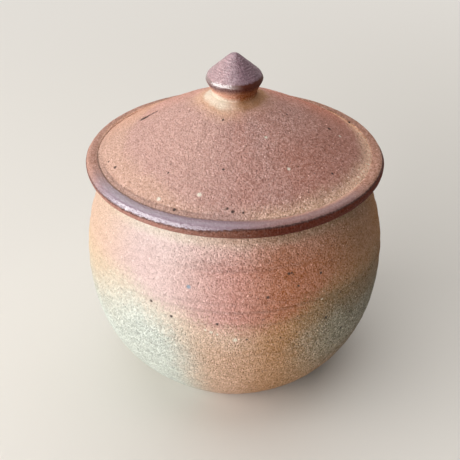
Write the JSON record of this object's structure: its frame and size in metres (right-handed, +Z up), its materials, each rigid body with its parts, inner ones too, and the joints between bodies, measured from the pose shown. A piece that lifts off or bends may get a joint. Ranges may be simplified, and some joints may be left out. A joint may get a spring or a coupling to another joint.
{
  "type": "lidded salt pot",
  "caption": "Round-bellied stoneware pot with a narrow mouth and a loose conical lid, lifted by a pointed knob, for keeping salt.",
  "frame": {"origin": "middle of the foot, on the surface that the pot stands on", "axes": "+Z up along the turning axis, through the tip of the knob"},
  "size_m": [0.108, 0.108, 0.1225],
  "materials": {
    "pot_stoneware": "unglazed, sandy, flashed from rose to buff",
    "lid_stoneware": "unglazed, sandy, rose brown with a glossier rim",
    "knob_stoneware": "fine turned clay, semi-gloss purple brown"
  },
  "bodies": {
    "pot": {"pot": "pot_stoneware"},
    "lid": {"lid": "lid_stoneware", "knob": "knob_stoneware"}
  },
  "joints": [
    {"name": "lid_lift", "type": "slide", "parent": "pot", "child": "lid", "axis": [0, 0, 1], "range_m": [0, 0.1]}
  ]
}
